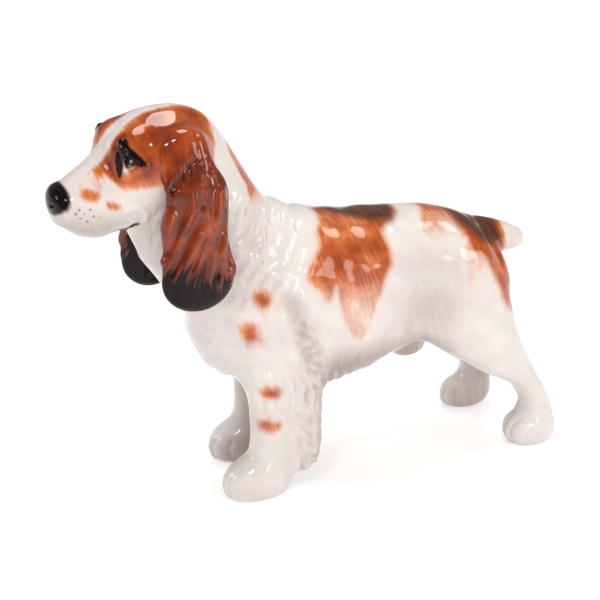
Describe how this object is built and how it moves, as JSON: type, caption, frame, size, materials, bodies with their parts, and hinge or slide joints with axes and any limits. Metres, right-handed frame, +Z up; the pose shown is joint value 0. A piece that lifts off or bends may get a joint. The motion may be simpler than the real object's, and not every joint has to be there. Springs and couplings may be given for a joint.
{
  "type": "porcelain dog figurine",
  "caption": "Standing spaniel figurine in glossy glazed porcelain, white with brown and black patches, long hanging ears and a short tail; an ornament that stands on its own paws.",
  "frame": {"origin": "middle of the figurine's box, on the surface that the paws stand on", "axes": "+Z up, +Y from the nose towards the tail, +X to the dog's left side"},
  "size_m": [0.0518, 0.1741, 0.1309],
  "materials": {
    "white_glaze": "glossy clear glaze over white porcelain with hand-painted coat patches",
    "brown_glaze": "glossy clear glaze over hand-painted brown and black hair"
  },
  "bodies": {
    "root": {"torso": "white_glaze", "head": "white_glaze", "left_ear": "brown_glaze", "right_ear": "brown_glaze", "left_foreleg": "white_glaze", "right_foreleg": "white_glaze", "left_hind_leg": "white_glaze", "right_hind_leg": "white_glaze", "tail": "white_glaze"}
  },
  "joints": []
}
